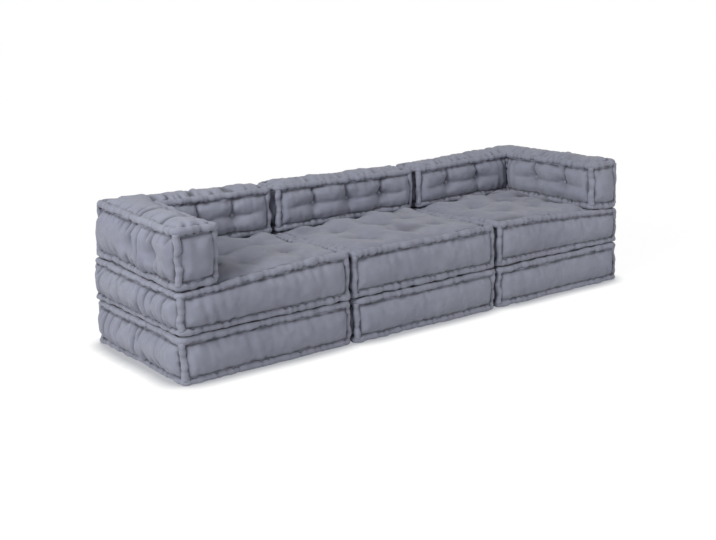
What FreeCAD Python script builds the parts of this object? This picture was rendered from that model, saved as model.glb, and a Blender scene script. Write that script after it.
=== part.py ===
"""Modular floor sofa: three loose modules side by side, each a stack of two square tufted mattress
cushions with a back cushion on top. The outer modules have an L-shaped cushion that is arm and back.

Frame: +X along the sofa to the right as seen from the front, +Y to the back, +Z up.
The origin is on the floor, in the middle of the sofa's width and depth. Sizes are in millimetres.
"""

import FreeCAD, Part
import os

import Sketcher
from FreeCAD import Placement, Rotation, Vector

DOCUMENT = FreeCAD.newDocument("ModularSofa")

# Driving dimensions: alias, size in millimetres and meaning
DRIVING = (
    ("module_width", 700, "width of a module over its rolled edges"),
    ("module_depth", 690, "depth of a module over its rolled edges"),
    ("module_gap", 24, "gap between neighbouring modules"),
    ("base_height", 170, "height of a base cushion"),
    ("seat_height", 171, "height of a seat cushion without its crown"),
    ("back_height", 191, "height of a back or arm cushion"),
    ("back_thickness", 170, "thickness of a back or arm over its rolled edges"),
    ("panel_thickness", 2, "thickness of a cover panel"),
    ("filling_clearance", 0.4, "gap between the filling and its cover"),
    ("wall_inset", 8, "distance from the rolled edge's outside to the wall"),
    ("side_bulge", 7, "swell of a side panel at its middle"),
    ("face_corner_cut", 12, "length of each side cut off at a corner of a flat face"),
    ("seat_crown", 18, "swell of the seat where nothing stands on it"),
    ("crown_margin", 12, "distance from the edge of the flat top to the foot of the crown"),
    ("crown_shoulder", 55, "width of each of the crown's two slopes"),
    ("roll_radius", 15, "radius of the rolled edge"),
    ("roll_setback", 2, "distance from a flat face to the roll beside it"),
    ("roll_bend_inside", 3, "inside radius of a roll at a corner"),
    ("roll_clearance", 0.3, "gap between a roll and the cover behind it"),
    ("post_radius", 13.5, "radius of the upright roll at a corner"),
    ("nook_distance", 15.5, "distance from both walls to the upright roll in the inner corner"),
    ("tuft_pitch", 174, "distance from one tuft to the next"),
    ("seat_dimple_radius", 70, "radius of a dimple's mouth on a mattress cushion"),
    ("back_dimple_radius", 44, "radius of a dimple's mouth on a back or arm"),
    ("dimple_depth", 16, "depth of a dimple below the flat face"),
    ("button_radius", 9, "radius of a tuft button"),
    ("button_height", 5, "height of a tuft button's dome"),
    ("button_margin", 4, "flat ring of cover round a button"),
    ("twine_radius", 1.2, "radius of the tufting twine"),
    ("twine_clearance", 0.3, "gap round the twine in the filling and the cover"),
    ("tape_width", 36, "width of a hook-and-loop tape"),
    ("tape_thickness", 2, "thickness of one half of a hook-and-loop tape"),
    ("tape_end_margin", 120, "distance from a tape's end to the cushion's edge"),
    ("cut_margin", 1, "how far a dimple's cut starts outside the surface"),
)
SHEET_NAME = "Sizes"
CORNER_SHARE = 1 - 0.5**0.5  # how far a rounded right angle cuts inside its corner, in bend radii
DIAGONAL = 2**0.5

# Ways that the axis of a tuft can point: along the axis and against it
ALONG = {
    "X": Rotation(Vector(0, 1, 0), 90),
    "Y": Rotation(Vector(1, 0, 0), -90),
    "Z": Rotation(),
}
AGAINST = {
    "X": Rotation(Vector(0, 1, 0), -90),
    "Y": Rotation(Vector(1, 0, 0), 90),
    "Z": Rotation(Vector(1, 0, 0), 180),
}


class Size:
    """A length that holds its number and the expression that ties it to the sheet."""

    def __init__(self, text, number):
        self.text = text
        self.number = number

    def __add__(self, other):
        other = as_size(other)
        return Size(f"({self.text} + {other.text})", self.number + other.number)

    def __sub__(self, other):
        other = as_size(other)
        return Size(f"({self.text} - {other.text})", self.number - other.number)

    def __mul__(self, other):
        other = as_size(other)
        return Size(f"({self.text} * {other.text})", self.number * other.number)

    def __truediv__(self, other):
        other = as_size(other)
        return Size(f"({self.text} / {other.text})", self.number / other.number)

    def __neg__(self):
        return ZERO - self


def as_size(value):
    """A Size as it is, or a plain number as a Size."""
    if isinstance(value, Size):
        return value
    return Size(f"({value:.9g})", float(value))


ZERO = as_size(0)


def span(start, end):
    """The distance between two places on one axis."""
    return Size(f"abs({end.text} - {start.text})", abs(end.number - start.number))


def fill_sheet():
    """Writes the driving dimensions to the sheet and returns them by alias."""
    sheet = DOCUMENT.addObject("Spreadsheet::Sheet", SHEET_NAME)
    sizes = {}
    for row, (alias, number, meaning) in enumerate(DRIVING, start=1):
        sheet.set(f"A{row}", meaning)
        sheet.set(f"B{row}", str(number))
        sheet.setAlias(f"B{row}", alias)
        sizes[alias] = Size(f"{SHEET_NAME}.{alias}", float(number))
    DOCUMENT.recompute()
    return sizes


SIZE = fill_sheet()
HALF_WIDTH = SIZE["module_width"] / 2
HALF_DEPTH = SIZE["module_depth"] / 2
THICKNESS = SIZE["back_thickness"]
PITCH = SIZE["tuft_pitch"]
TAPE_PAIR = SIZE["tape_thickness"] * 2
ROLL_BEND = SIZE["roll_radius"] + SIZE["roll_bend_inside"]
ROLL_LIFT = SIZE["roll_radius"] + SIZE["roll_setback"]
HOLE_RADIUS = SIZE["twine_radius"] + SIZE["twine_clearance"]

# The cover gives way behind each roll: how much wall an upright roll takes the place of, and how far
# the slope behind a ring lies in from the edge and below it, added up
ROLL_REACH = ROLL_BEND * CORNER_SHARE
CORNER_CUT = (
    (SIZE["roll_radius"] + ROLL_REACH - SIZE["wall_inset"]) * 2
    + (SIZE["post_radius"] + SIZE["roll_clearance"]) * DIAGONAL
)
EDGE_SLOPE = ROLL_LIFT + SIZE["roll_radius"] + (SIZE["roll_radius"] + SIZE["roll_clearance"]) * DIAGONAL

# Levels of the stack, from the floor up: each pair of tapes lies between two cushions
BASE_LOW = ZERO
BASE_HIGH = BASE_LOW + SIZE["base_height"]
SEAT_LOW = BASE_HIGH + TAPE_PAIR
SEAT_HIGH = SEAT_LOW + SIZE["seat_height"]
BACK_LOW = SEAT_HIGH + TAPE_PAIR
BACK_HIGH = BACK_LOW + SIZE["back_height"]


class Corner:
    """A corner of an outline in plan, with the signs of the way into the cushion."""

    def __init__(self, across, along, into_across, into_along):
        self.across = across
        self.along = along
        self.into = (into_across, into_along)

    def inset(self, distance):
        return self.across + distance * self.into[0], self.along + distance * self.into[1]


def box_outline(left, front, right, rear):
    """A rectangle in plan, counter-clockwise from its front left corner."""
    return [
        Corner(left, front, 1, 1),
        Corner(right, front, -1, 1),
        Corner(right, rear, -1, -1),
        Corner(left, rear, 1, -1),
    ]


def corner_outline():
    """The left module's L in plan: an arm along its left side and a back along its rear."""
    arm_inside, back_front = THICKNESS - HALF_WIDTH, HALF_DEPTH - THICKNESS
    return [
        Corner(-HALF_WIDTH, -HALF_DEPTH, 1, 1),
        Corner(arm_inside, -HALF_DEPTH, -1, 1),
        Corner(arm_inside, back_front, -1, 1),
        Corner(HALF_WIDTH, back_front, -1, 1),
        Corner(HALF_WIDTH, HALF_DEPTH, -1, -1),
        Corner(-HALF_WIDTH, HALF_DEPTH, 1, -1),
    ]


class Tufts:
    """Tufts through a cushion along one axis: the places of their axes in the other two, the two
    faces they pull in, how far those faces swell and the radius of the dimples' mouths."""

    def __init__(self, axis, places, faces, swells, mouth_radius):
        self.axis = axis
        self.places = places
        self.faces = faces
        self.swells = swells
        self.mouth_radius = mouth_radius
        self.floors = (faces[0] + SIZE["dimple_depth"], faces[1] - SIZE["dimple_depth"])

    def point(self, place, height):
        """A point at a height along one tuft's axis."""
        order = {"X": (height, *place), "Y": (place[0], height, place[1]), "Z": (*place, height)}
        return order[self.axis]


class Cushion:
    """One cushion as it stands in a module at the middle of the sofa."""

    def __init__(self, name, outline, levels, tufts, crown=None):
        self.name = name
        self.outline = outline
        self.low, self.high = levels
        self.tufts = tufts
        self.crown = crown

    def corners(self, distance):
        """The outline inset from the envelope, with sharp corners."""
        return [corner.inset(distance) for corner in self.outline]

    def cut_corners(self, distance, cut):
        """The outline inset from the envelope, with its outer corners cut off at an angle. Each place
        comes with a sign of whether the side that starts there is a swelling wall."""
        sharp = self.corners(distance)
        places = []
        for index, place in enumerate(sharp):
            arriving, leaving = side_way(sharp, index - 1), side_way(sharp, index)
            if arriving.cross(leaving).z > 0:
                places.append((moved(place, arriving, -cut), False))
                places.append((moved(place, leaving, cut), True))
            else:
                places.append((place, True))
        return places


def bind(thing, prop, size):
    """Ties a property to the sheet."""
    thing.setExpression(prop, size.text)


def new_body(label):
    body = DOCUMENT.addObject("PartDesign::Body", "Body")
    body.Label = label
    body.AllowCompound = True
    return body


def new_sketch(body, role, offset):
    """A sketch parallel to one of the body's origin planes, at an offset from it."""
    plane = next(part for part in body.Origin.OriginFeatures if part.Role == role)
    sketch = body.newObject("Sketcher::SketchObject", "Sketch")
    sketch.AttachmentSupport = [(plane, "")]
    sketch.MapMode = "FlatFace"
    sketch.AttachmentOffset = Placement(Vector(0, 0, offset.number), Rotation())
    bind(sketch, "AttachmentOffset.Base.z", offset)
    return sketch


def constrain(sketch, kind, geometry, size):
    """Adds a constraint whose value follows the sheet."""
    index = sketch.addConstraint(Sketcher.Constraint(kind, *geometry, size.number))
    bind(sketch, f"Constraints[{index}]", size)


def pin(sketch, geometry, point, place):
    """Fixes a point of a sketch at a place."""
    constrain(sketch, "DistanceX", (-1, 1, geometry, point), place[0])
    constrain(sketch, "DistanceY", (-1, 1, geometry, point), place[1])


def flat_point(place):
    return Vector(place[0].number, place[1].number, 0)


def side_way(places, index):
    """The direction of one side of an outline, along an axis of the plan."""
    count = len(places)
    start, end = flat_point(places[index % count]), flat_point(places[(index + 1) % count])
    return (end - start).normalize()


def moved(place, way, distance):
    """A place moved along an axis of the plan."""
    return place[0] + distance * round(way.x), place[1] + distance * round(way.y)


def add_polygon(sketch, places, bulge=None):
    """A closed outline of lines, or of lines and of arcs that swell outwards by the bulge."""
    points = [place for place, _ in places]
    count = len(points)
    for index, (start, swells) in enumerate(places):
        begin, end = flat_point(start), flat_point(points[(index + 1) % count])
        if bulge is None or not swells:
            sketch.addGeometry(Part.LineSegment(begin, end))
        else:
            way = side_way(points, index)
            swell = Vector(way.y, -way.x, 0) * bulge.number
            sketch.addGeometry(Part.Arc(begin, (begin + end) / 2 + swell, end))
    for index, (start, swells) in enumerate(places):
        after = (index + 1) % count
        sketch.addConstraint(Sketcher.Constraint("Coincident", index, 2, after, 1))
        pin(sketch, index, 1, start)
        if bulge is not None and swells:
            chord = span(start[0], points[after][0]) + span(start[1], points[after][1])
            constrain(sketch, "Radius", (index,), (chord * chord / 4 + bulge * bulge) / (bulge * 2))


def add_circle(sketch, place, radius):
    index = sketch.addGeometry(Part.Circle(flat_point(place), Vector(0, 0, 1), radius.number))
    pin(sketch, index, 3, place)
    constrain(sketch, "Radius", (index,), radius)


def add_loft(body, sections):
    """A smooth solid through sections, each an outline, its height and its bulge."""
    sketches = []
    for places, height, bulge in sections:
        sketch = new_sketch(body, "XY_Plane", height)
        add_polygon(sketch, places, bulge)
        sketches.append(sketch)
    loft = body.newObject("PartDesign::AdditiveLoft", "Loft")
    loft.Profile = sketches[0]
    loft.Sections = sketches[1:]
    body.Tip = loft


def add_ring(body, wall, height, radius):
    """A roll round the cushion at one height, with rounded corners."""
    count = len(wall)
    path = new_sketch(body, "XY_Plane", height)
    for index, place in enumerate(wall):
        after = (index + 1) % count
        way, next_way = side_way(wall, index), side_way(wall, after)
        begin = moved(place, way, ROLL_BEND)
        end = moved(wall[after], way, -ROLL_BEND)
        leave = moved(wall[after], next_way, ROLL_BEND)
        inwards = next_way - way
        centre = flat_point(wall[after]) + inwards * ROLL_BEND.number
        middle = centre - Vector(inwards).normalize() * ROLL_BEND.number
        bend = (flat_point(end), middle, flat_point(leave))
        outer_turn = way.cross(next_way).z > 0
        path.addGeometry(Part.LineSegment(flat_point(begin), flat_point(end)))
        path.addGeometry(Part.Arc(*(bend if outer_turn else bend[::-1])))
        pin(path, 2 * index, 1, begin)
        pin(path, 2 * index, 2, end)
    for index in range(count):
        tie_bend(path, 2 * index + 1, 2 * index, 2 * ((index + 1) % count))
    start = moved(wall[0], side_way(wall, 0), ROLL_BEND)
    profile = new_sketch(body, "YZ_Plane", start[0])
    add_circle(profile, (start[1], height), radius)
    ring = body.newObject("PartDesign::AdditivePipe", "Ring")
    ring.Profile = profile
    ring.Spine = (path, [f"Edge{number + 1}" for number in range(2 * count)])
    body.Tip = ring


def tie_bend(path, arc, line_before, line_after):
    """Joins a bend to the straight runs on both sides of it, whichever way round it is drawn."""
    start, meeting = path.Geometry[arc].StartPoint, path.Geometry[line_before].EndPoint
    near, far = (1, 2) if start.isEqual(meeting, 1e-6) else (2, 1)
    path.addConstraint(Sketcher.Constraint("Coincident", line_before, 2, arc, near))
    path.addConstraint(Sketcher.Constraint("Coincident", arc, far, line_after, 1))
    constrain(path, "Radius", (arc,), ROLL_BEND)


def rolls_body(label, cushion):
    """The rolled edge: a ring round each face and a roll up each corner."""
    body = new_body(label)
    line = cushion.corners(SIZE["roll_radius"])
    low, high = cushion.low + ROLL_LIFT, cushion.high - ROLL_LIFT
    add_ring(body, line, low, SIZE["roll_radius"])
    add_ring(body, line, high, SIZE["roll_radius"])
    uprights = new_sketch(body, "XY_Plane", low)
    nook = SIZE["nook_distance"] - SIZE["wall_inset"] + SIZE["roll_radius"]
    for index, place in enumerate(line):
        arriving, leaving = side_way(line, index - 1), side_way(line, index)
        distance = ROLL_REACH if arriving.cross(leaving).z > 0 else nook
        axis = moved(moved(place, leaving, distance), arriving, -distance)
        add_circle(uprights, axis, SIZE["post_radius"])
    posts = body.newObject("PartDesign::Pad", "Posts")
    posts.Profile = uprights
    posts.Length = (high - low).number
    bind(posts, "Length", high - low)
    body.Tip = posts
    return body


def form_body(label, cushion, inset):
    """The cushion's swollen form without its dimples, inset from its outside."""
    body = new_body(label)
    slope = EDGE_SLOPE + inset * DIAGONAL
    corner_cut = CORNER_CUT - inset * (2 - DIAGONAL)
    wall_inset = SIZE["wall_inset"] + inset
    wall = cushion.cut_corners(wall_inset, corner_cut)
    face = cushion.cut_corners(slope - inset, SIZE["face_corner_cut"])
    low, high = cushion.low + inset, cushion.high - inset
    wall_low = cushion.low + slope - wall_inset
    wall_high = cushion.high - slope + wall_inset
    middle = (wall_low + wall_high) / 2
    add_loft(body, [(wall, wall_low, None), (wall, middle, SIZE["side_bulge"]), (wall, wall_high, None)])
    add_loft(body, [(face, low, None), (wall, wall_low, None)])
    add_loft(body, [(wall, wall_high, None), (face, high, None)])
    if cushion.crown:
        sections = []
        for step, share in enumerate((0, 0.7, 1)):
            distance = SIZE["crown_margin"] + inset + SIZE["crown_shoulder"] * step
            places = [(corner.inset(distance), False) for corner in cushion.crown]
            sections.append((places, high + SIZE["seat_crown"] * share, None))
        add_loft(body, sections)
    return body


def primitive(kind, sizes, point, turn):
    """A simple solid whose sizes and place follow the sheet."""
    solid = DOCUMENT.addObject(f"Part::{kind}", kind)
    for prop, size in sizes.items():
        setattr(solid, prop, size.number)
        bind(solid, prop, size)
    solid.Placement = Placement(Vector(*(size.number for size in point)), turn)
    for axis, size in zip("xyz", point):
        bind(solid, f"Placement.Base.{axis}", size)
    return solid


def group(label, solids):
    """Separate solids that make one piece."""
    compound = DOCUMENT.addObject("Part::Compound", "Group")
    compound.Label = label
    compound.Links = solids
    return compound


def dimples(label, cushion, inset):
    """A cone into both faces at each tuft, with a flat floor for the button."""
    cones = []
    floor_radius = SIZE["button_radius"] + SIZE["button_margin"] + inset
    for tufts in cushion.tufts:
        mouth_radius = tufts.mouth_radius + inset * 2
        low_mouth = tufts.faces[0] - tufts.swells[0] - SIZE["cut_margin"]
        high_mouth = tufts.faces[1] + tufts.swells[1] + SIZE["cut_margin"]
        low_floor, high_floor = tufts.floors[0] + inset, tufts.floors[1] - inset
        ends = ((low_mouth, low_floor, AGAINST), (high_mouth, high_floor, ALONG))
        for mouth, floor, turns in ends:
            sizes = {"Radius1": floor_radius, "Radius2": mouth_radius, "Height": span(mouth, floor)}
            for place in tufts.places:
                cones.append(primitive("Cone", sizes, tufts.point(place, floor), turns[tufts.axis]))
    return group(label, cones)


def twine(label, cushion, radius, overrun):
    """A straight run of twine through the cushion at each tuft, overrun past the dimple floors."""
    runs = []
    for tufts in cushion.tufts:
        low, high = tufts.floors[0] - overrun, tufts.floors[1] + overrun
        sizes = {"Radius": radius, "Height": high - low}
        for place in tufts.places:
            runs.append(primitive("Cylinder", sizes, tufts.point(place, low), ALONG[tufts.axis]))
    return group(label, runs)


def buttons(label, cushion):
    """A domed button on the floor of each dimple."""
    sizes = {
        "Radius1": SIZE["button_height"],
        "Radius2": SIZE["button_radius"],
        "Radius3": SIZE["button_radius"],
        "Angle1": ZERO,
        "Angle2": as_size(90),
    }
    domes = []
    for tufts in cushion.tufts:
        for floor, turns in zip(tufts.floors, (AGAINST, ALONG)):
            for place in tufts.places:
                domes.append(primitive("Ellipsoid", sizes, tufts.point(place, floor), turns[tufts.axis]))
    return group(label, domes)


def tapes(label, strips, low):
    """Flat tapes sewn to a cushion's face, each given by its outline in plan."""
    solids = []
    for left, front, right, rear in strips:
        sizes = {"Length": right - left, "Width": rear - front, "Height": SIZE["tape_thickness"]}
        solids.append(primitive("Box", sizes, (left, front, low), Rotation()))
    return group(label, solids)


def cut(label, base, tool):
    """What is left of one solid once another is taken out of it."""
    feature = DOCUMENT.addObject("Part::Cut", "Cut")
    feature.Label = label
    feature.Base = base
    feature.Tool = tool
    return feature


def pad(label, cushion, inset):
    """The cushion's tufted form, inset from its outside."""
    form = form_body(f"{label} form", cushion, inset)
    return cut(label, form, dimples(f"{label} dimples", cushion, inset))


def cushion_pieces(cushion):
    """The pieces of one cushion: cover, filling, rolled edge, twine and buttons."""
    name = cushion.name
    fabric, clearance = SIZE["panel_thickness"], SIZE["filling_clearance"]
    holes = twine(f"{name} twine holes", cushion, HOLE_RADIUS, fabric)
    outside = pad(f"{name} outside", cushion, ZERO)
    cavity = pad(f"{name} cavity", cushion, fabric)
    stuffing = pad(f"{name} stuffing", cushion, fabric + clearance)
    shell = cut(f"{name} shell", outside, cavity)
    return {
        "cover": cut(f"{name} cover", shell, holes),
        "filling": cut(f"{name} filling", stuffing, holes),
        "edge_rolls": rolls_body(f"{name} rolls", cushion),
        "tuft_twine": twine(f"{name} twine", cushion, SIZE["twine_radius"], ZERO),
        "buttons": buttons(f"{name} buttons", cushion),
    }


def mattress_tufts(levels, top_swell):
    """Nine tufts in a square grid, centred on a base or seat cushion."""
    lines = (-PITCH, ZERO, PITCH)
    places = [(across, along) for across in lines for along in lines]
    return [Tufts("Z", places, levels, (ZERO, top_swell), SIZE["seat_dimple_radius"])]


def back_tufts(places):
    """A row of tufts through a back, halfway up it."""
    middle, wall = (BACK_LOW + BACK_HIGH) / 2, SIZE["wall_inset"]
    faces = (HALF_DEPTH - THICKNESS + wall, HALF_DEPTH - wall)
    swells = (SIZE["side_bulge"], SIZE["side_bulge"])
    return Tufts("Y", [(across, middle) for across in places], faces, swells, SIZE["back_dimple_radius"])


def arm_tufts(places):
    """A row of tufts through the left arm, halfway up it."""
    middle, wall = (BACK_LOW + BACK_HIGH) / 2, SIZE["wall_inset"]
    faces = (wall - HALF_WIDTH, THICKNESS - HALF_WIDTH - wall)
    swells = (SIZE["side_bulge"], SIZE["side_bulge"])
    return Tufts("X", [(along, middle) for along in places], faces, swells, SIZE["back_dimple_radius"])


def mattress_strips():
    """Two tapes from front to back, halfway between the rows of tufts."""
    half, reach = SIZE["tape_width"] / 2, HALF_DEPTH - SIZE["tape_end_margin"]
    lines = (-PITCH / 2, PITCH / 2)
    return [(line - half, -reach, line + half, reach) for line in lines]


def back_strip(left, right):
    """A tape under the middle of a back."""
    line, half = HALF_DEPTH - THICKNESS / 2, SIZE["tape_width"] / 2
    return left, line - half, right, line + half


def arm_strip():
    """A tape under the middle of the left arm."""
    line, half = THICKNESS / 2 - HALF_WIDTH, SIZE["tape_width"] / 2
    return line - half, SIZE["tape_end_margin"] - HALF_DEPTH, line + half, HALF_DEPTH - THICKNESS


def named(cushion, pieces):
    return {f"{cushion}_{piece}": shape for piece, shape in pieces.items()}


def base_pieces():
    """A base cushion and the tapes on top of it: the same in all three modules."""
    square = box_outline(-HALF_WIDTH, -HALF_DEPTH, HALF_WIDTH, HALF_DEPTH)
    levels = (BASE_LOW, BASE_HIGH)
    pieces = cushion_pieces(Cushion("base", square, levels, mattress_tufts(levels, ZERO)))
    pieces["loop_tapes"] = tapes("base loop tapes", mattress_strips(), BASE_HIGH)
    return named("base", pieces)


def upper_pieces(kind, crown_left, back_outline, tufts, strips):
    """A seat with its crown, a back cushion and the tapes of both."""
    square = box_outline(-HALF_WIDTH, -HALF_DEPTH, HALF_WIDTH, HALF_DEPTH)
    levels = (SEAT_LOW, SEAT_HIGH)
    front, right = EDGE_SLOPE - HALF_DEPTH, HALF_WIDTH - EDGE_SLOPE
    crown = box_outline(crown_left, front, right, HALF_DEPTH - THICKNESS)
    grid = mattress_tufts(levels, SIZE["seat_crown"])
    seat = cushion_pieces(Cushion(f"{kind} seat", square, levels, grid, crown))
    seat["hook_tapes"] = tapes(f"{kind} seat hook tapes", mattress_strips(), BASE_HIGH + TAPE_PAIR / 2)
    seat["loop_tapes"] = tapes(f"{kind} seat loop tapes", strips, SEAT_HIGH)
    back = cushion_pieces(Cushion(f"{kind} back", back_outline, (BACK_LOW, BACK_HIGH), tufts))
    back["hook_tapes"] = tapes(f"{kind} back hook tapes", strips, SEAT_HIGH + TAPE_PAIR / 2)
    return {**named("seat", seat), **named("back", back)}


def middle_pieces():
    """The middle module's seat and straight back."""
    outline = box_outline(-HALF_WIDTH, HALF_DEPTH - THICKNESS, HALF_WIDTH, HALF_DEPTH)
    end = HALF_WIDTH - SIZE["tape_end_margin"]
    tufts = [back_tufts((-PITCH, ZERO, PITCH))]
    crown_left = EDGE_SLOPE - HALF_WIDTH
    return upper_pieces("middle", crown_left, outline, tufts, [back_strip(-end, end)])


def outer_pieces():
    """The left module's seat and L-shaped arm and back, which the right module mirrors."""
    arm_inside, end = THICKNESS - HALF_WIDTH, HALF_WIDTH - SIZE["tape_end_margin"]
    tufts = [back_tufts((ZERO, PITCH)), arm_tufts((-PITCH, ZERO))]
    strips = [back_strip(arm_inside, end), arm_strip()]
    return upper_pieces("outer", arm_inside, corner_outline(), tufts, strips)


def stand(label, shape, side, mirrored):
    """One piece of the sofa in its module's place: side is -1 left, 0 middle or 1 right."""
    if mirrored:
        piece = DOCUMENT.addObject("Part::Mirroring", "Piece")
        piece.Source = shape
        piece.Normal = Vector(1, 0, 0)
    else:
        piece = DOCUMENT.addObject("Part::Compound", "Piece")
        piece.Links = [shape]
    piece.Label = label
    offset = (SIZE["module_width"] + SIZE["module_gap"]) * side
    piece.Placement = Placement(Vector(offset.number, 0, 0), Rotation())
    bind(piece, "Placement.Base.x", offset)
    return piece


def check(pieces):
    """Stops if any object failed or any piece is not a sound solid."""
    for thing in DOCUMENT.Objects:
        if {"Invalid", "Error"}.intersection(thing.State):
            raise RuntimeError(f"{thing.Label} failed: {thing.State}")
    for piece in pieces:
        if piece.Shape.isNull() or not piece.Shape.isValid() or not piece.Shape.Solids:
            raise RuntimeError(f"{piece.Label} is not a sound solid")


def main():
    base, middle, outer = base_pieces(), middle_pieces(), outer_pieces()
    pieces = []
    for module, side, upper in (("left", -1, outer), ("middle", 0, middle), ("right", 1, outer)):
        for name, shape in {**base, **upper}.items():
            mirrored = side > 0 and not name.startswith("base")
            pieces.append(stand(f"{module}_{name}", shape, side, mirrored))
    DOCUMENT.recompute()
    check(pieces)
    os.makedirs("parts", exist_ok=True)
    for piece in pieces:
        piece.Shape.exportStep(f"parts/{piece.Label}.step")
        print(f"{piece.Label}: {len(piece.Shape.Solids)} solids, {piece.Shape.Volume / 1000:.1f} cm3")


main()
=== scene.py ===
"""Dresses the modular sofa: stuffed, tufted cushions with hand-stitched rolled edges in woven cotton.

Each cushion is a fine closed grid on the box between its rolled edges. It is swollen by a cloth
simulation that is held at the edges and at the tufts, then gathered along its seams and settled on
its neighbours. Lengths are in metres, in the frame of the CAD model.
"""

import math

import bpy
import numpy as np
from mathutils import Matrix, Vector


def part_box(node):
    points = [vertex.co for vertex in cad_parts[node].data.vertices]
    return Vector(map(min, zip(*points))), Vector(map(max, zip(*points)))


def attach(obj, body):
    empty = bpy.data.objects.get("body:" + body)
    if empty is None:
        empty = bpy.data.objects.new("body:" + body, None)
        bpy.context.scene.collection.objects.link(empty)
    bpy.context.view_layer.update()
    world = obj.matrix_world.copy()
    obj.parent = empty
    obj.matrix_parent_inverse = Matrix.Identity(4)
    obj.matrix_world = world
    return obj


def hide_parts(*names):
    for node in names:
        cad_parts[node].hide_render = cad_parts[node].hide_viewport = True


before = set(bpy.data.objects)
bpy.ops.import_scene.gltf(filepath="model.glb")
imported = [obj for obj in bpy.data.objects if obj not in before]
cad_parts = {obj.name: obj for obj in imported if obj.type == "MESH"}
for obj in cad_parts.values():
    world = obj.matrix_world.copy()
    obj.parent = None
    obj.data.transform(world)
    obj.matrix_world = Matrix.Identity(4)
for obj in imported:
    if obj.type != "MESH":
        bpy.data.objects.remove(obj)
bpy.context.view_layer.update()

MODULES = ("left", "middle", "right")
LAYERS = ("base", "seat", "back")
END_SIGN = {"left": -1, "right": 1}  # the way along X that the outer end of an end module faces
MM = 0.001
UP = np.array((0.0, 0.0, 1.0))

# Grid and simulation
GRID = 12 * MM  # grid step of a cushion before it is subdivided
FRAMES = 16  # length of the cloth simulation
REACH = 20 * MM  # how far the simulation may move a point
PRESSURE = {"base": 4.0, "seat": 4.0, "back": 5.0}
HELD = 13 * MM  # radius of the cloth that a tuft holds

# Rolled edges
ROLL = 13.5 * MM  # radius of a rolled edge
ROLL_LINE = 15 * MM  # distance in plan from the envelope to the axis of a roll
ROLL_LIFT = 17 * MM  # distance from a cushion's flat face to the edge of its side panels
ROLL_PAST = 1 * MM  # how far a roll stands past the flat face
ROLL_BEND = 9 * MM  # bend of a roll at a corner
ROLL_STEP = 7 * MM  # distance between two rings of points along a roll
ROLL_SIDES = 14  # points round a roll
POST_RINGS = 23  # rings of points on an upright roll
STITCH = 28 * MM  # distance between two stitches
SEAM_LINE = 12.5 * MM  # distance from a panel's edge to its dark seam

# Tufts
PITCH = 174 * MM  # distance between two tufts
TUFT_DEPTH = 14 * MM  # depth of a tuft below the face it sits in
BACK_WALL = 8 * MM  # distance from a back's envelope to the face that its tufts sit in
TUFT_PULL = {"base": 21 * MM, "seat": 21 * MM, "back": 24 * MM}  # how far a tuft draws the cloth in
BUTTON = 9 * MM  # radius of a button

# How far the middle of each kind of panel stands past the envelope or the flat face
BULGE = {
    "front": 7 * MM,
    "neighbour": 1 * MM,
    "end": 15 * MM,
    "back": 6 * MM,
    "level": -1 * MM,
    "back_top": 6 * MM,
}

# Seat tops
CROWN = 15 * MM  # rise of the middle of a seat
PUFF = 21 * MM  # rise of the puff along the foot of the back and of the arm
PUFF_PLACE = 40 * MM  # distance of the puff's crest from the foot
PUFF_WIDTH = 50 * MM
FOOT_DIP = 26 * MM  # depth of the dips in the puff at the tufts
FOOT_SLOPE = 2.2  # steepest rise of a seat from the foot of what stands on it
FOOT_GAP = 5 * MM  # width of the strip beside the foot where the seat stays flat

# Pleats and long folds of the side panels, at the sofa's ends and elsewhere
END_PANEL = {"pleat": 11 * MM, "reach": 72 * MM, "apart": 88 * MM, "fold": 12 * MM, "width": 10 * MM}
OTHER_PANEL = {"pleat": 2.8 * MM, "reach": 60 * MM, "apart": 230 * MM, "fold": 1.2 * MM, "width": 16 * MM}
# Depth and reach of the pleats of the tops and bottoms
LEVEL_PLEATS = {"base": (1.5 * MM, 60 * MM), "seat": (1.8 * MM, 60 * MM), "back": (9 * MM, 95 * MM)}

# How the soft stack has settled
SPREAD = {"base": 9 * MM, "seat": 9 * MM, "back": 4 * MM}  # how far a cushion spreads at each end
MODULE_ROOM = 11.7 * MM  # how far a module may spread towards its neighbour, just short of half the gap
STACK_ROOM = 1.9 * MM  # the same for a roll towards the cushion above or below it
UNEVEN = (2.4 * MM, 3.5 * MM, 2 * MM)  # uneven settling along each axis
ARM_PRESS = 22 * MM  # how far an arm sinks into the seat at its front
ARM_PRESS_WIDTH = 210 * MM
SEAT_RISE = {"left": 15 * MM, "middle": 9 * MM, "right": 15 * MM}  # rise of the open part of a seat
BACK_SLOPE = {  # rise of a back's top at its left and right end
    "left": (6 * MM, -5 * MM),
    "middle": (-5 * MM, -15 * MM),
    "right": (-14 * MM, 0),
}
CORNER_RISE = 6 * MM  # extra rise of the left back's rear corner
CORNER_WIDTH = 200 * MM
ARM_PUSH = 42 * MM  # how far the left arm leans in at its rear
ARM_FOOT = 0.25  # share of that push at the arm's foot
ARM_PUSH_FADE = 350 * MM  # length of back over which the push dies out
ARM_STRAIGHT = 100 * MM  # length of the arm's front end that stays in place

CLOTH = (0.262, 0.272, 0.337)  # blue-grey
TWINE = (0.42, 0.40, 0.35)
TAPE = (0.10, 0.11, 0.14)


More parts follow.
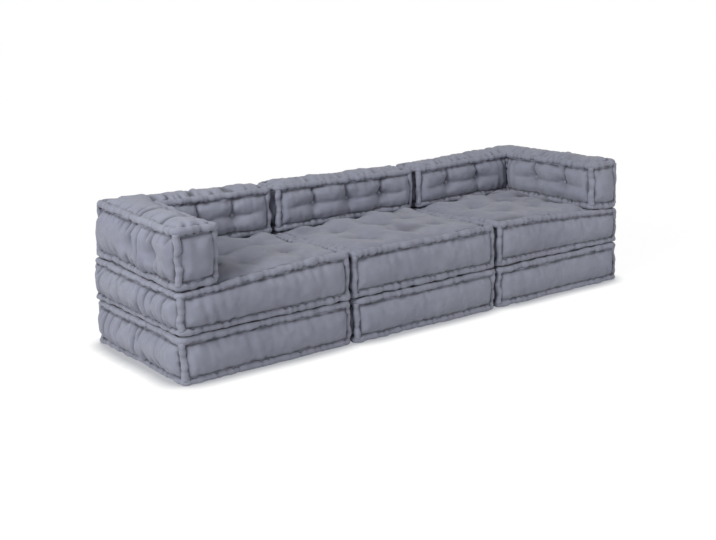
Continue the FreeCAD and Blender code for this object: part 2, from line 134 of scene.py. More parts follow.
class Waves:
    """A smooth, seeded field of a few crossed sine waves, between about -1 and 1."""

    def __init__(self, seed, length, dims=3, count=7):
        rng = np.random.default_rng(seed)
        ways = rng.normal(size=(count, dims))
        ways /= np.linalg.norm(ways, axis=1)[:, None]
        stretch = rng.uniform(0.6, 1.5, (count, 1))
        self.ways = ways * (2 * math.pi / length) * stretch
        self.phases = rng.uniform(0, 2 * math.pi, count)
        self.height = 0.6 / math.sqrt(count / 2)

    def __call__(self, points):
        points = np.asarray(points, float)
        if points.ndim == 1:
            points = points[:, None]
        return np.sin(points @ self.ways.T + self.phases).sum(axis=1) * self.height


def smooth(value, low, high):
    """0 below low, 1 above high and an even slope between."""
    share = np.clip((value - low) / (high - low), 0, 1)
    return share * share * (3 - 2 * share)


def bell(value, width):
    """1 at zero with a round top, falling away over the width."""
    return np.exp(-((value / width) ** 2))


def spike(value, width):
    """1 at zero with a sharp top, falling away over the width."""
    return np.exp(-np.abs(value) / width)


class Cushion:
    """One cushion of the sofa, with its plan and levels read from the frame."""

    def __init__(self, module, layer, seed):
        self.module, self.layer, self.seed = module, layer, seed
        self.name = f"{module}_{layer}"
        self.is_back = layer == "back"
        self.is_corner = self.is_back and module in END_SIGN
        low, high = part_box(f"{self.name}_edge_rolls")
        cover_low, cover_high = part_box(f"{self.name}_cover")
        self.low, self.high = cover_low[2], cover_high[2]
        if layer == "seat":
            self.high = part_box(f"{self.name}_loop_tapes")[0][2]
        self.left, self.front, self.right, self.rear = low[0], low[1], high[0], high[1]
        back_low, back_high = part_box("middle_back_edge_rolls")
        self.thickness = back_high[1] - back_low[1]
        self.back_face = self.rear - self.thickness
        self.middle = (self.left + self.right) / 2
        self.plan = self.make_plan()
        self.z_low, self.z_high = self.low + ROLL_LIFT, self.high - ROLL_LIFT

    def make_plan(self):
        """The axes of the rolled edges in plan, counter-clockwise."""
        left, front = self.left + ROLL_LINE, self.front + ROLL_LINE
        right, rear = self.right - ROLL_LINE, self.rear - ROLL_LINE
        nook = self.back_face + ROLL_LINE
        if not self.is_corner:
            return [(left, front), (right, front), (right, rear), (left, rear)]
        if self.module == "left":
            inner = self.left + self.thickness - ROLL_LINE
            arm = [(left, front), (inner, front), (inner, nook)]
            return arm + [(right, nook), (right, rear), (left, rear)]
        inner = self.right - self.thickness + ROLL_LINE
        arm = [(inner, front), (right, front), (right, rear)]
        return arm + [(left, rear), (left, nook), (inner, nook)]

    def nook(self):
        """The corner of the plan where an arm meets the back."""
        return np.array(self.plan[{"left": 2, "right": 5}[self.module]])

    def sides(self):
        """Start, end, direction and outward normal of each side of the plan."""
        count = len(self.plan)
        for index in range(count):
            start = np.array(self.plan[index])
            end = np.array(self.plan[(index + 1) % count])
            way = (end - start) / np.linalg.norm(end - start)
            yield start, end, way, np.array((way[1], -way[0]))

    def inside(self, x, y):
        """Whether a place within the plan's limits is on the cushion, not beside its arm."""
        if not self.is_corner:
            return True
        inner, nook = self.nook()
        return y > nook or (x - inner) * END_SIGN[self.module] > 0

    def tufts(self):
        """A point on each tuft, and the number of the axis that it runs along."""
        depth_middle = (self.front + self.rear) / 2
        if not self.is_back:
            for column in (-1, 0, 1):
                for row in (-1, 0, 1):
                    place = (self.middle + column * PITCH, depth_middle + row * PITCH, 0)
                    yield np.array(place), 2
            return
        height = (self.low + self.high) / 2
        columns = {"left": (0, 1), "middle": (-1, 0, 1), "right": (-1, 0)}[self.module]
        for column in columns:
            yield np.array((self.middle + column * PITCH, 0, height)), 1
        if self.is_corner:
            for row in (-1, 0):
                yield np.array((0, depth_middle + row * PITCH, height)), 0

    def outward(self, normals):
        """Whether each normal faces out at an end of the sofa."""
        return normals[..., 0] * END_SIGN.get(self.module, 0) > 0.5

    def waves(self, key, length, dims=3, count=7, shift=0):
        """One of this cushion's own fields of waves; key and shift tell them apart."""
        return Waves(self.seed * key + shift, length, dims, count)

    def random(self, key):
        """This cushion's own random numbers; the key tells them apart."""
        return np.random.default_rng(self.seed * key)


def lines(breaks, step):
    """Grid lines that include the breaks."""
    places = [breaks[0]]
    for start, end in zip(breaks, breaks[1:]):
        count = max(2, round((end - start) / step))
        places += [start + (end - start) * number / count for number in range(1, count + 1)]
    return np.array(places)


def box_grid(cushion):
    """The closed grid of a cushion: flat points and faces."""
    xs = lines(sorted({round(x, 6) for x, _ in cushion.plan}), GRID)
    ys = lines(sorted({round(y, 6) for _, y in cushion.plan}), GRID)
    zs = lines([cushion.z_low, cushion.z_high], GRID)
    top = len(zs) - 1
    keys, faces = {}, []

    def corner(i, j, k):
        return keys.setdefault((i, j, k), len(keys))

    filled = np.zeros((len(xs) - 1, len(ys) - 1), bool)
    for i in range(len(xs) - 1):
        for j in range(len(ys) - 1):
            filled[i, j] = cushion.inside((xs[i] + xs[i + 1]) / 2, (ys[j] + ys[j + 1]) / 2)
    for i, j in np.argwhere(filled):
        ring = ((i, j), (i + 1, j), (i + 1, j + 1), (i, j + 1))
        faces.append([corner(*place, top) for place in ring])
        faces.append([corner(*place, 0) for place in ring[::-1]])
        for number, (di, dj) in enumerate(((0, -1), (1, 0), (0, 1), (-1, 0))):
            ni, nj = i + di, j + dj
            if 0 <= ni < filled.shape[0] and 0 <= nj < filled.shape[1] and filled[ni, nj]:
                continue
            a, b = ring[number], ring[(number + 1) % 4]
            for k in range(top):
                faces.append([corner(*a, k), corner(*b, k), corner(*b, k + 1), corner(*a, k + 1)])
    points = np.array([(xs[i], ys[j], zs[k]) for i, j, k in keys])
    return points, faces


class Place:
    """For flat points of a cushion: which panel each is on, where on it and how far from its edge."""

    def __init__(self, cushion, flat):
        near = 1e-4
        count = len(flat)
        self.normal = np.zeros((count, 3))
        self.along = np.zeros(count)
        self.up = np.zeros(count)
        self.edge = np.ones(count)
        self.side = np.full(count, -1)
        gaps = []
        for start, end, way, out in cushion.sides():
            rel = flat[:, :2] - start
            run, length = rel @ way, np.linalg.norm(end - start)
            beyond = np.maximum(np.maximum(-run, run - length), 0)
            gaps.append((run, length, np.hypot(rel @ out, beyond)))
        self.top = flat[:, 2] > cushion.z_high - near
        self.bottom = flat[:, 2] < cushion.z_low + near
        self.level = self.top | self.bottom
        self.normal[self.top, 2], self.normal[self.bottom, 2] = 1, -1
        self.along[self.level], self.up[self.level] = flat[self.level, 0], flat[self.level, 1]
        self.edge[self.level] = np.min([gap for _, _, gap in gaps], axis=0)[self.level]
        rise = np.minimum(flat[:, 2] - cushion.z_low, cushion.z_high - flat[:, 2])
        for number, (_, _, _, out) in enumerate(cushion.sides()):
            run, length, gap = gaps[number]
            here = (gap < near) & ~self.level
            self.side[here] = number
            self.normal[here, :2] = out
            self.along[here], self.up[here] = run[here], flat[here, 2]
            self.edge[here] = np.minimum(np.minimum(run, length - run), rise)[here]
        self.edge = np.maximum(self.edge, 0)


def around_tufts(cushion, flat, place):
    """For each tuft: its axis, the points that face along it and their two distances from it."""
    for centre, axis in cushion.tufts():
        first, second = (other for other in range(3) if other != axis)
        facing = np.abs(place.normal[:, axis]) > 0.5
        yield axis, facing, flat[:, first] - centre[first], flat[:, second] - centre[second]


def tuft_point(place, axis, sign, far):
    """The grid point nearest to a tuft on one of its two faces."""
    return int(np.argmin(np.where(place.normal[:, axis] * sign > 0.5, far, np.inf)))


def bulge_of(cushion, place):
    """How far the middle of each panel stands out from the edges of the grid."""
    outer = cushion.outward(place.normal)
    out = np.full(len(place.edge), ROLL_LINE + BULGE["front"])
    out[np.abs(place.normal[:, 0]) > 0.5] = ROLL_LINE + BULGE["neighbour"]
    out[outer] = ROLL_LINE + BULGE["end"]
    if cushion.is_back:
        out[~place.level & ~outer] = ROLL_LINE + BULGE["back"]
    out[place.level] = ROLL_LIFT + BULGE["level"]
    if cushion.is_back:
        out[place.top] = ROLL_LIFT + BULGE["back_top"]
    return out


def wander(seed, number, value):
    """A crease's sideways wander along its length."""
    size, radians_per_metre = 5 * MM, 38
    return size * np.sin(value * radians_per_metre + seed * 1.7 + number * 2.3)


def crease_lines(cushion, number, across, along, width):
    """The upright and the level crease through a tuft of a back, each 1 on its line."""
    upright = spike(across + wander(cushion.seed, number, along), width)
    fade = np.clip(1 - np.abs(across) / (0.75 * PITCH), 0, 1) ** 0.5
    same_for_all = 9
    level = spike(along + 0.6 * wander(cushion.seed, same_for_all, across), width) * fade
    return upright, level


def tuft_grooves(cushion, flat, place):
    """The soft grooves between the tufts, deep on a back and faint on a base or seat."""
    upright_depth, faint_depth = 18 * MM, 1.8 * MM
    level_depth = np.where(cushion.outward(place.normal), 4 * MM, 15 * MM)
    result = np.zeros(len(flat))
    for number, (_, facing, across, along) in enumerate(around_tufts(cushion, flat, place)):
        if cushion.is_back:
            upright, level = crease_lines(cushion, number, across, along, 10 * MM)
            upright *= 0.62 + 0.38 * spike(along, 40 * MM)
            upright *= np.where(along > 0, 1.0, 0.6)
            value = np.maximum(upright_depth * upright, level_depth * level)
        else:
            line = np.minimum(np.abs(across), np.abs(along))
            reach = np.maximum(np.abs(across), np.abs(along))
            fade = np.clip(1 - reach / (0.5 * PITCH), 0, 1) ** 0.5
            value = faint_depth * spike(line, 17 * MM) * fade
        result = np.where(facing, np.maximum(result, value), result)
    return result


def seat_cover(cushion, points):
    """Distance of a point of the seat from what stands on it, in plan; 0 under the back or arm."""
    gap = np.maximum(cushion.back_face - points[:, 1], 0)
    if cushion.module == "left":
        foot = cushion.left + cushion.thickness + ARM_PUSH * ARM_FOOT * rearward(cushion, points)
        gap = np.minimum(gap, np.maximum(points[:, 0] - foot, 0))
    if cushion.module == "right":
        gap = np.minimum(gap, np.maximum(cushion.right - cushion.thickness - points[:, 0], 0))
    return gap


def rearward(cushion, points):
    """0 at the front end of an arm and 1 where it meets the back."""
    return smooth(points[:, 1], cushion.front + ARM_STRAIGHT, cushion.back_face)


def foot_tufts(cushion):
    """The tufts of a seat at the foot of the back and of the arm, with the way out from under it."""
    at_foot = 30 * MM
    for centre, _ in cushion.tufts():
        if seat_cover(cushion, centre[None])[0] > at_foot:
            continue
        out = np.array((0.0, -1.0))
        if abs(centre[0] - cushion.middle) > PITCH / 2 and centre[1] < PITCH / 2:
            out = np.array((np.sign(cushion.middle - centre[0]), 0.0))
        yield centre[:2], out


def square_to(way):
    """The level direction a quarter turn from another."""
    return np.array((-way[1], way[0]))


def foot_dips(cushion, flat):
    """How far a place is in one of the wide dips at the foot of the back and of the arm, 0 to 1."""
    out_from_foot, depth, width = 16 * MM, 38 * MM, 56 * MM
    result = np.zeros(len(flat))
    for centre, out in foot_tufts(cushion):
        off = flat[:, :2] - centre
        dip = bell(off @ out - out_from_foot, depth) * bell(off @ square_to(out), width)
        result = np.maximum(result, dip)
    return result


def seat_crown(cushion, flat, place):
    """The rise of a seat's top: a broad crown, and a puff with dips along the foot of the back."""
    result = CROWN * smooth(place.edge, 15 * MM, 180 * MM)
    puff = bell(seat_cover(cushion, flat) - PUFF_PLACE, PUFF_WIDTH)
    result += PUFF * puff * smooth(place.edge, 10 * MM, 80 * MM)
    return result - FOOT_DIP * foot_dips(cushion, flat)


def swell(cushion, flat, place):
    """How far each flat point stands out before the simulation: swollen, with tufts and grooves."""
    out = bulge_of(cushion, place) * smooth(place.edge, 7 * MM, 38 * MM)
    if cushion.layer == "seat":
        out += np.where(place.top, seat_crown(cushion, flat, place), 0)
    out -= tuft_grooves(cushion, flat, place) * smooth(place.edge, 4 * MM, 22 * MM)
    face = ROLL_LINE - BACK_WALL if cushion.is_back else ROLL_LIFT
    floor = face - TUFT_DEPTH
    for _, facing, across, along in around_tufts(cushion, flat, place):
        pull = np.exp(-((np.hypot(across, along) / TUFT_PULL[cushion.layer]) ** 1.4))
        out = np.where(facing, out * (1 - pull) + floor * pull, out)
    return out


def new_mesh(name, points, faces):
    """A new object with a smooth-shaded mesh."""
    mesh = bpy.data.meshes.new(name)
    mesh.from_pydata(np.asarray(points).tolist(), [], [list(map(int, face)) for face in faces])
    mesh.polygons.foreach_set("use_smooth", [True] * len(mesh.polygons))
    mesh.update()
    thing = bpy.data.objects.new(name, mesh)
    bpy.context.scene.collection.objects.link(thing)
    return thing


def add_shades(thing, seam, wear_and_highlight):
    """Tells the material how dark each point is, at a seam or in painted shade, and, beside the seams, how
    much lighter, for wear and a painted highlight.
    """
    for name, values in (("seam", seam), ("wear_and_highlight", wear_and_highlight * (1 - seam))):
        layer = thing.data.attributes.new(name, "FLOAT", "POINT")
        layer.data.foreach_set("value", values)


def read_vectors(data, name):
    """One vector for each element of a mesh's data."""
    values = np.empty(len(data) * 3)
    data.foreach_get(name, values)
    return values.reshape(-1, 3)


def add_cloth(thing, held, pressure):
    """Sets a cushion up for the simulation: held points stay, the rest is blown up a little."""
    group = thing.vertex_groups.new(name="held")
    group.add([int(index) for index in np.flatnonzero(held)], 1.0, "REPLACE")
    cloth = thing.modifiers.new("Cloth", "CLOTH")
    settings = cloth.settings
    settings.quality = 4
    settings.mass = 0.2
    settings.tension_stiffness = 12
    settings.compression_stiffness = 12
    settings.shear_stiffness = 4
    settings.bending_stiffness = 0.3
    settings.air_damping = 3
    settings.use_pressure = True
    settings.uniform_pressure_force = pressure
    settings.shrink_min = -0.01
    settings.vertex_group_mass = "held"
    settings.effector_weights.gravity = 0
    cloth.collision_settings.use_collision = False
    cloth.collision_settings.use_self_collision = False
    cloth.point_cache.frame_start = 1
    cloth.point_cache.frame_end = FRAMES


def evaluated_points(thing):
    """The points of a piece as the simulation has moved them."""
    seen = thing.evaluated_get(bpy.context.evaluated_depsgraph_get())
    points = read_vectors(seen.to_mesh().vertices, "co")
    seen.to_mesh_clear()
    return points


def subdivide(points, faces, flat):
    """Splits each face in four with the smoothing of a subdivision surface; flat places are averaged."""
    thing = new_mesh("subdivide", points, faces)
    layer = thing.data.attributes.new("flat", "FLOAT_VECTOR", "POINT")
    layer.data.foreach_set("vector", np.asarray(flat, float).ravel())
    modifier = thing.modifiers.new("Subdivide", "SUBSURF")
    modifier.levels = 1
    graph = bpy.context.evaluated_depsgraph_get()
    mesh = bpy.data.meshes.new_from_object(thing.evaluated_get(graph), depsgraph=graph)
    found = read_vectors(mesh.vertices, "co")
    normals = read_vectors(mesh.vertices, "normal")
    new_flat = read_vectors(mesh.attributes["flat"].data, "vector")
    new_faces = [list(face.vertices) for face in mesh.polygons]
    bpy.data.objects.remove(thing)
    bpy.data.meshes.remove(mesh)
    return found, normals, new_faces, new_flat


def pleats(run, gap, length, rng, depth, reach):
    """Pleats that run in from a stitched seam: deepest beside it, each of its own length."""
    count = max(1, int(length / STITCH))
    result = np.zeros(len(run))
    for number in range(count):
        place = (number + 0.5 + rng.uniform(-0.3, 0.3)) * length / count
        share = gap / (reach * rng.uniform(0.35, 1.3))
        deep = depth * rng.uniform(0.25, 1.0)
        slant = rng.uniform(-0.22, 0.22)
        wide = rng.uniform(6, 10) * MM * (1 + 0.7 * share)
        off = run - place - slant * gap
        shape = deep * smooth(share, -0.25, 0.15) * (1 - smooth(share, 0.25, 1))
        result -= shape * bell(off, wide)
        result += 0.4 * shape * bell(np.abs(off) - 2 * wide, wide)
    return result


def tuft_creases(cushion, flat, place):
    """The sharp folds of a back, from tuft to tuft, from each tuft to the seams and beside the nook."""
    above_depth, below_depth = 10 * MM, 3 * MM
    level_depth = np.where(cushion.outward(place.normal), 2 * MM, 8 * MM)
    result = np.zeros(len(flat))
    for number, (_, facing, across, along) in enumerate(around_tufts(cushion, flat, place)):
        upright, level = crease_lines(cushion, number, across, along, 5 * MM)
        upright *= np.where(along > 0, above_depth, below_depth)
        value = np.maximum(upright, level_depth * level)
        result = np.where(facing, np.maximum(result, value), result)
    if cushion.is_corner:
        far = np.linalg.norm(flat[:, :2] - cushion.nook(), axis=1)
        folds = 7 * MM * spike(far - 36 * MM, 4 * MM)
        folds += 4 * MM * spike(far - 70 * MM, 5 * MM)
        result = np.where(place.side >= 0, np.maximum(result, folds), result)
    return result


def foot_creases(cushion, flat, place):
    """Folds on a seat that run out from the tufts at the foot of the back and of the arm."""
    depth, width, widening = 8 * MM, 9 * MM, 0.1
    rng = cushion.random(607)
    result = np.zeros(len(flat))
    for centre, out in foot_tufts(cushion):
        off = flat[:, :2] - centre
        for turn in rng.uniform(-1.1, 1.1, 3):
            way = out * math.cos(turn) + square_to(out) * math.sin(turn)
            along, across = off @ way, off @ square_to(way)
            end = rng.uniform(90, 150) * MM
            fade = smooth(along, 0, 20 * MM) * (1 - smooth(along, 50 * MM, end))
            result += depth * fade * bell(across, width + widening * np.maximum(along, 0))
    return np.where(place.top & (seat_cover(cushion, flat) > 0), result, 0)


def panel_folds(cushion, run, up, length, outer, rng):
    """Pleats along the upper and lower seam of a side panel, and long folds from seam to seam."""
    sizes = END_PANEL if outer else OTHER_PANEL
    result = pleats(run, cushion.z_high - up, length, rng, sizes["pleat"], sizes["reach"])
    result += pleats(run, up - cushion.z_low, length, rng, sizes["pleat"], sizes["reach"])
    count = 1 if cushion.is_back and outer else int(length / sizes["apart"])
    for _ in range(count):
        middle = rng.uniform(0.08, 0.92) * length
        lean = rng.uniform(-0.15, 0.15) * (up - cushion.z_low)
        lean += 4 * MM * np.sin(up * 30 + middle * 50)
        deep = rng.uniform(0.35, 1.0) * sizes["fold"]
        off = (run - middle - lean) / sizes["width"]
        result -= deep * (bell(off, 1) - 0.5 * bell(np.abs(off) - 1.9, 1))
    return result


def top_dents(cushion, flat, place):
    """The dents across the top of a back, above its tufts."""
    depth, width = 9 * MM, 17 * MM
    at_rear = flat[:, 1] > cushion.back_face
    result = np.zeros(len(flat))
    for centre, axis in cushion.tufts():
        across = flat[:, 1 - axis] - centre[1 - axis]
        strip = place.top & (at_rear if axis == 1 else ~at_rear)
        result += np.where(strip, depth * bell(across, width), 0)
    return result


def cloth_waves(cushion, place):
    """The soft unevenness of the stuffed cloth, with upright streaks on the front and rear panels."""
    over = np.stack([place.along, place.up], axis=1)
    result = 1.2 * MM * cushion.waves(77, 85 * MM, 2, 8)(over)
    result += 2.6 * MM * cushion.waves(91, 210 * MM, 2, 6)(over)
    if cushion.layer == "seat":
        broad = 5.5 * MM * cushion.waves(37, 300 * MM, 2, 6)(over)
        result += np.where(place.top, broad, 0)
    upright = (place.side >= 0) & (np.abs(place.normal[:, 1]) > 0.5)
    result *= np.where(upright & (not cushion.is_back), 0.45, 0.8)
    slanted = place.along + 0.12 * place.up
    streaks = 1 * MM * cushion.waves(43, 36 * MM, 1, 7)(slanted)
    streaks *= 0.5 + 0.5 * cushion.waves(47, 250 * MM, 2, 5)(over)
    return result + np.where(upright, streaks, 0)


def gathers(cushion, flat, place):
    """How far the folds, creases and waves of the cloth stand out; folds run in from the seams."""
    pleated_strip = 130 * MM
    rng = cushion.random(419)
    result = np.zeros(len(flat))
    for number, (start, end, way, out) in enumerate(cushion.sides()):
        length = np.linalg.norm(end - start)
        here = place.side == number
        run, up = place.along[here], place.up[here]
        result[here] += panel_folds(cushion, run, up, length, cushion.outward(out), rng)
        rel = flat[:, :2] - start
        run, gap = rel @ way, -(rel @ out)
        near = place.level & (run > 0) & (run < length) & (gap >= 0) & (gap < pleated_strip)
        result[near] += pleats(run[near], gap[near], length, rng, *LEVEL_PLEATS[cushion.layer])
    if cushion.is_back:
        result -= tuft_creases(cushion, flat, place) + top_dents(cushion, flat, place)
    if cushion.layer == "seat":
        result -= foot_creases(cushion, flat, place)
    return (result + cloth_waves(cushion, place)) * smooth(place.edge, 2 * MM, 18 * MM)


def lean_arm(cushion, points, share):
    """Raises the rear corner of the left back and pushes its arm in; share is 0 at its foot, 1 on top."""
    corner = np.hypot(points[:, 0] - cushion.left, points[:, 1] - cushion.rear)
    points[:, 2] += CORNER_RISE * bell(corner, CORNER_WIDTH) * share
    inner = cushion.left + cushion.thickness
    pushed = 0.5 + 0.5 * smooth(points[:, 0], cushion.left, inner)
    pushed *= 1 - smooth(points[:, 0], inner, inner + ARM_PUSH_FADE)
    pushed *= rearward(cushion, points)
    points[:, 0] += ARM_PUSH * pushed * (ARM_FOOT + (1 - ARM_FOOT) * share)


def settle(cushion, points):
    """Moves points the way the soft stack has settled: uneven edges, arms that press the seat down."""
    points = np.array(points, float)
    share = np.clip((points[:, 2] - cushion.low) / (cushion.high - cushion.low), 0, 1)
    start = points.copy()
    for axis, size in enumerate(UNEVEN):
        hold = share * (1 - share) * 4 if axis == 2 else 1
        waves = cushion.waves(13, 420 * MM, shift=axis)(start)
        waves += 0.4 * cushion.waves(17, 130 * MM, shift=axis)(start)
        points[:, axis] += size * waves * hold
    if cushion.module in END_SIGN and cushion.layer != "base":
        end = cushion.left if cushion.module == "left" else cushion.right
        frontal = 1 - 0.6 * smooth(points[:, 1], cushion.front, cushion.rear)
        press = 1 - share if cushion.is_back else share
        points[:, 2] -= ARM_PRESS * bell(points[:, 0] - end, ARM_PRESS_WIDTH) * frontal * press
    if cushion.layer == "seat":
        open_part = smooth(seat_cover(cushion, points), 150 * MM, 420 * MM)
        points[:, 2] += SEAT_RISE[cushion.module] * share * open_part
    if cushion.is_back:
        run = (points[:, 0] - cushion.left) / (cushion.right - cushion.left)
        first, last = BACK_SLOPE[cushion.module]
        points[:, 2] += (first + (last - first) * smooth(run, 0, 1)) * share
        if cushion.module == "left":
            lean_arm(cushion, points, share)
    half = (cushion.right - cushion.left) / 2
    points[:, 0] += SPREAD[cushion.layer] * (points[:, 0] - cushion.middle) / half
    if cushion.module != "left":
        points[:, 0] = np.maximum(points[:, 0], cushion.left - MODULE_ROOM)
    if cushion.module != "right":
        points[:, 0] = np.minimum(points[:, 0], cushion.right + MODULE_ROOM)
    return points


def keep_clear(cushion, place, points):
    """Flattens a cover where it lies on a cushion or carries one."""
    points[:, 2] = np.where(place.bottom, np.maximum(points[:, 2], cushion.low), points[:, 2])
    if cushion.layer == "base":
        points[:, 2] = np.minimum(points[:, 2], cushion.high)
    if cushion.layer == "seat":
        open_gap = np.maximum(seat_cover(cushion, points) - FOOT_GAP, 0)
        limit = cushion.high + FOOT_SLOPE * open_gap
        points[:, 2] = np.where(place.top, np.minimum(points[:, 2], limit), points[:, 2])


def in_stack(cushion, points):
    """Flattens rolls where they lie on the rolls of the cushion above or below."""
    points[:, 2] = np.clip(points[:, 2], cushion.low - STACK_ROOM, cushion.high + STACK_ROOM)
    return points


def corner_of(plan, index):
    """A corner of a plan, with the ways that arrive at it and leave it."""
    before, here, after = (np.array(plan[(index + shift) % len(plan)]) for shift in (-1, 0, 1))
    arriving = (here - before) / np.linalg.norm(here - before)
    leaving = (after - here) / np.linalg.norm(after - here)
    return here, arriving, leaving


def rounded_path(plan, bend, step):
    """A closed path along a plan with rounded corners, in even steps, and its length."""
    path = []
    for index in range(len(plan)):
        here, arriving, leaving = corner_of(plan, index)
        centre = here + (leaving - arriving) * bend
        for turn in np.linspace(0, math.pi / 2, 7):
            path.append(centre - leaving * bend * math.cos(turn) + arriving * bend * math.sin(turn))
    path.append(path[0])
    path = np.array(path)
    runs = np.r_[0, np.cumsum(np.linalg.norm(np.diff(path, axis=0), axis=1))]
    count = int(round(runs[-1] / step))
    places = np.linspace(0, runs[-1], count, endpoint=False)
    return np.stack([np.interp(places, runs, path[:, axis]) for axis in (0, 1)], axis=1), runs[-1]


def stitch_pinch(run, length, rng):
    """How strongly each place along a roll is pinched by a stitch, and the stitches' places."""
    count = max(1, int(round(length / STITCH)))
    places = (np.arange(count) + 0.5 + rng.uniform(-0.35, 0.35, count)) * length / count
    tight = rng.uniform(0.15, 1.0, count)
    gap = np.abs(run[:, None] - places[None, :])
    gap = np.minimum(gap, length - gap)
    return (tight * bell(gap, 6 * MM)).max(axis=1), places


class Tube:
    """Points and faces of swept tubes, gathered into one mesh, with a shade for each point."""

    def __init__(self):
        self.points, self.faces, self.shades = [], [], []

    def sweep(self, centres, sides, ups, radii, closed, shades=None):
        """Adds a tube: radii has one row per centre and one column per step round it."""
        count, steps = radii.shape
        angles = np.arange(steps) * 2 * math.pi / steps
        first = sum(len(part) for part in self.points)
        ring = centres[:, None, :]
        for share, ways in ((np.cos(angles), sides), (np.sin(angles), ups)):
            ways = np.broadcast_to(ways, centres.shape)
            ring = ring + (radii * share)[:, :, None] * ways[:, None, :]
        self.points.append(ring.reshape(-1, 3))
        self.shades.append(np.zeros(count * steps) if shades is None else shades.ravel())
        for row in range(count if closed else count - 1):
            here, after = first + row * steps, first + (row + 1) % count * steps
            for step in range(steps):
                turn = (step + 1) % steps
                self.faces.append([here + step, after + step, after + turn, here + turn])
        if not closed:
            last = first + (count - 1) * steps
            self.faces.append(list(range(first, first + steps)))
            self.faces.append(list(range(last, last + steps))[::-1])

    def all_points(self):
        return np.concatenate(self.points)


def roll_radii(run, length, rng, wobble, seams):
    """Radius round a roll along its run, the places of its stitches and its painted shade beside its seams
    and in its stitches' pinches.
    """
    pinch, places = stitch_pinch(run, length, rng)
    angles = np.arange(ROLL_SIDES) * 2 * math.pi / ROLL_SIDES
    near = np.zeros(ROLL_SIDES)
    for seam in seams:
        off = (angles - seam + math.pi) % (2 * math.pi) - math.pi
        near = np.maximum(near, bell(off, 0.8))
    pinch, near = pinch[:, None], near[None, :]
    stuffed = 1 + 0.09 * wobble(run)
    radii = ROLL * stuffed[:, None] * (1 - pinch * (0.18 + 0.46 * near))
    # Painted shade: darker on the roll's seam sides and where a stitch pinches it.
    shades = np.clip(near * (0.3 + 0.9 * pinch) + 0.42 * pinch, 0, 1)
    return radii, places, shades


def add_ring(cushion, number, rolls, thread, rng):
    """The rolled edge round the bottom (0) or the top (1) of a cushion, with its stitches."""
    upright = (-1, 1)[number]
    edge = (cushion.z_low, cushion.z_high)[number]
    height = edge + upright * (ROLL_LIFT - ROLL + ROLL_PAST)
    path, length = rounded_path(cushion.plan, ROLL_BEND, ROLL_STEP)
    count = len(path)
    centres = np.c_[path, np.full(count, height)]
    ahead = np.roll(path, -1, axis=0) - np.roll(path, 1, axis=0)
    ahead /= np.linalg.norm(ahead, axis=1)[:, None]
    sides = np.c_[ahead[:, 1], -ahead[:, 0], np.zeros(count)]
    run = np.arange(count) * length / count
    seams = (math.pi, -upright * math.pi / 2)
    wobble = cushion.waves(7, 80 * MM, 1, 5, number)
    radii, places, shades = roll_radii(run, length, rng, wobble, seams)
    centres[:, 2] += upright * 1.2 * MM * cushion.waves(23, 130 * MM, 2, 5, number)(path)
    sway = 3.2 * MM * cushion.waves(29, 95 * MM, 2, 5, number)(path)
    centres += sides * sway[:, None]
    rolls.sweep(centres, sides, UP, radii, True, shades)
    for place in places:
        index = int(place / length * count) % count
        tangent = np.r_[ahead[index], 0]
        for angle in seams:
            add_stitch(thread, centres[index], sides[index], UP, tangent, angle)


def add_post(cushion, number, rolls, thread, rng):
    """The upright rolled edge at a corner of a cushion, with its stitches."""
    here, arriving, leaving = corner_of(cushion.plan, number)
    axis = here + (leaving - arriving) * ROLL_BEND * (1 - math.sqrt(0.5))
    heights = np.linspace(cushion.z_low, cushion.z_high, POST_RINGS)
    centres = np.c_[np.tile(axis, (POST_RINGS, 1)), heights]
    run = heights - heights[0]
    loose = np.sin(math.pi * run / run[-1]) ** 0.5
    for turn, way in enumerate((leaving, arriving)):
        field = cushion.waves(31, 100 * MM, 1, 5, 2 * number + turn)
        centres[:, :2] += (3.4 * MM * loose * field(run))[:, None] * way
    wobble = cushion.waves(9, 80 * MM, 1, 5, number)
    seams = (math.pi, -math.pi / 2)
    radii, places, shades = roll_radii(run, run[-1], rng, wobble, seams)
    side, up = np.r_[leaving, 0], np.r_[arriving, 0]
    slimmer = 0.96
    rolls.sweep(centres, -side, up, radii * slimmer, False, shades)
    for place in places:
        centre = centres[int(round(place / run[-1] * (POST_RINGS - 1)))]
        for angle in (0, -math.pi / 2):
            add_stitch(thread, centre, side, up, UP, angle)


def make_rolls(cushion):
    """The rolled edges of a cushion, with the thread of their stitches."""
    rng = cushion.random(101)
    rolls, thread = Tube(), Tube()
    for number in (0, 1):
        add_ring(cushion, number, rolls, thread, rng)
    for number in range(len(cushion.plan)):
        add_post(cushion, number, rolls, thread, rng)
    return rolls, thread


def add_stitch(thread, centre, side, up, tangent, angle):
    """A short slanted thread on a roll, beside the seam at an angle round it."""
    count, half_turn, half_slant = 5, 0.42, 6 * MM
    around = ROLL * 0.9
    turns = angle + np.linspace(-half_turn, half_turn, count)
    slant = np.linspace(-half_slant, half_slant, count)
    points = centre + around * (np.outer(np.cos(turns), side) + np.outer(np.sin(turns), up))
    points += np.outer(slant, tangent)
    out = side * math.cos(angle) + up * math.sin(angle)
    radii = np.full((count, 5), 1.9 * MM)
    radii[0] = radii[-1] = 1.1 * MM
    thread.sweep(points, out, np.cross(out, tangent), radii, False)


def make_button(tube, centre, normal):
    """A small covered button: a dome with a rim, sunk in its tuft."""
    guide = UP if abs(normal[2]) < 0.5 else np.array((1.0, 0.0, 0.0))
    side = np.cross(normal, guide)
    side /= np.linalg.norm(side)
    up = np.cross(normal, side)
    # Radius and height of each ring, as shares of the button's radius
    profile = ((0.55, -0.3), (0.95, -0.15), (1.0, 0.1), (0.9, 0.3), (0.66, 0.47), (0.36, 0.56), (0.08, 0.6))
    steps = 16
    radii = np.array([[radius * BUTTON] * steps for radius, _ in profile])
    centres = np.array([centre + normal * height * BUTTON for _, height in profile])
    tube.sweep(centres, side, up, radii, False)


